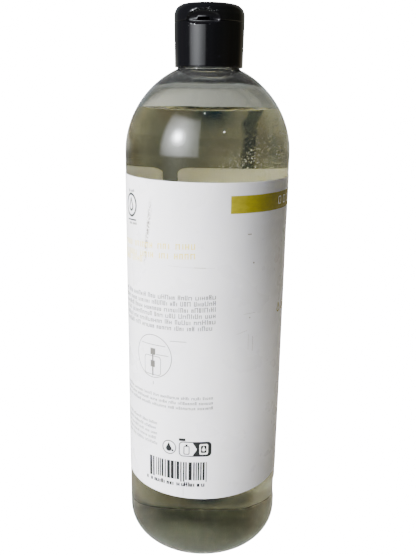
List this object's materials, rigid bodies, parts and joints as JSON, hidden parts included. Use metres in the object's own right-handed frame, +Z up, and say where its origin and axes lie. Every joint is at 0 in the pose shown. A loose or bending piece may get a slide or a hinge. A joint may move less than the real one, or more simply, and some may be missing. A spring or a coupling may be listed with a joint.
{
  "type": "hand soap refill bottle",
  "caption": "Tall clear round bottle of liquid soap with a domed shoulder, a white wrap label and a black screw-on closure with a flip lid.",
  "frame": {"origin": "on the bottle's axis, in the plane that its base stands on", "axes": "+Z up along the axis, -Y towards the front of the label, +X to the right seen from the front"},
  "size_m": [0.0662, 0.0662, 0.227],
  "materials": {
    "clear_plastic": "clear, glossy, blown",
    "liquid_soap": "clear pale olive liquid",
    "label_film": "satin white printed film",
    "liner_foam": "fine closed-cell foam",
    "black_plastic": "moulded, satin to glossy"
  },
  "bodies": {
    "bottle": {"bottle": "clear_plastic", "soap_fill": "liquid_soap", "wrap_label": "label_film"},
    "liner": {"sealing_liner": "liner_foam"},
    "closure": {"closure_body": "black_plastic"},
    "lid": {"flip_lid": "black_plastic"}
  },
  "joints": [
    {"name": "closure_lift", "type": "slide", "parent": "bottle", "child": "liner", "axis": [0, 0, 1], "range_m": [0, 0.0048]},
    {"name": "closure_turn", "type": "hinge", "parent": "liner", "child": "closure", "pos_m": [0, 0, 0.21], "axis": [0, 0, 1], "range_deg": [0, 540]},
    {"name": "lid_flip", "type": "hinge", "parent": "closure", "child": "lid", "pos_m": [0.00259, 0.0133, 0.2199], "axis": [-0.9816, 0.1908, 0], "range_deg": [0, 135]}
  ],
  "couplings": [
    {"joint": "closure_lift", "follows": "closure_turn", "m_per_rad": 0.00050532}
  ]
}
